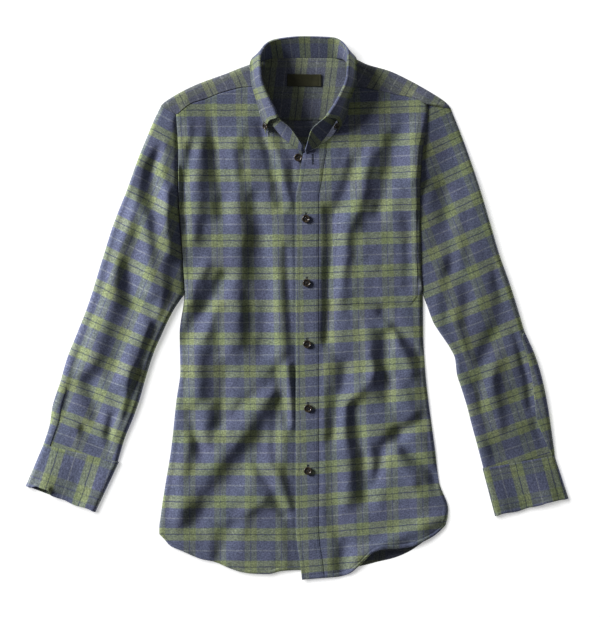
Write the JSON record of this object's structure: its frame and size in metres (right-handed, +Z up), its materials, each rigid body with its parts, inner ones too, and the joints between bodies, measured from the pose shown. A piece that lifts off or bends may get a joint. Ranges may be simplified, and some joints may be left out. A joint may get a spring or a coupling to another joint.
{
  "type": "flannel shirt",
  "caption": "Long-sleeved button-down flannel shirt in a check, laid flat on its back with the top button undone, with a chest pocket.",
  "frame": {"origin": "centre of the garment's outline, on the floor it lies on", "axes": "+Z up from the floor, +Y from the hem towards the collar, +X towards the picture's right (the pocket's side)"},
  "size_m": [0.826, 0.826, 0.045],
  "materials": {
    "flannel_front": "brushed check flannel",
    "flannel_sleeve": "brushed check flannel",
    "flannel_back": "brushed check flannel",
    "flannel_trim": "brushed check flannel, top-stitched",
    "flannel_collar": "brushed check flannel over interlining",
    "label": "plain satin-woven tape",
    "button": "dark tortoise resin"
  },
  "bodies": {
    "root": {"back": "flannel_back", "yoke": "flannel_back", "front_left": "flannel_front", "front_right": "flannel_front", "front_placket": "flannel_trim", "pocket": "flannel_trim", "neck_label": "label", "sleeve_placket_left": "flannel_trim", "sleeve_placket_right": "flannel_trim", "sleeve_left": "flannel_sleeve", "sleeve_right": "flannel_sleeve", "cuff_left": "flannel_trim", "cuff_right": "flannel_trim", "collar_stand": "flannel_collar", "collar_leaf": "flannel_collar", "button_front_1": "button", "button_front_2": "button", "button_front_3": "button", "button_front_4": "button", "button_front_5": "button", "button_front_6": "button", "button_collar_left": "button", "button_collar_right": "button"}
  },
  "joints": []
}
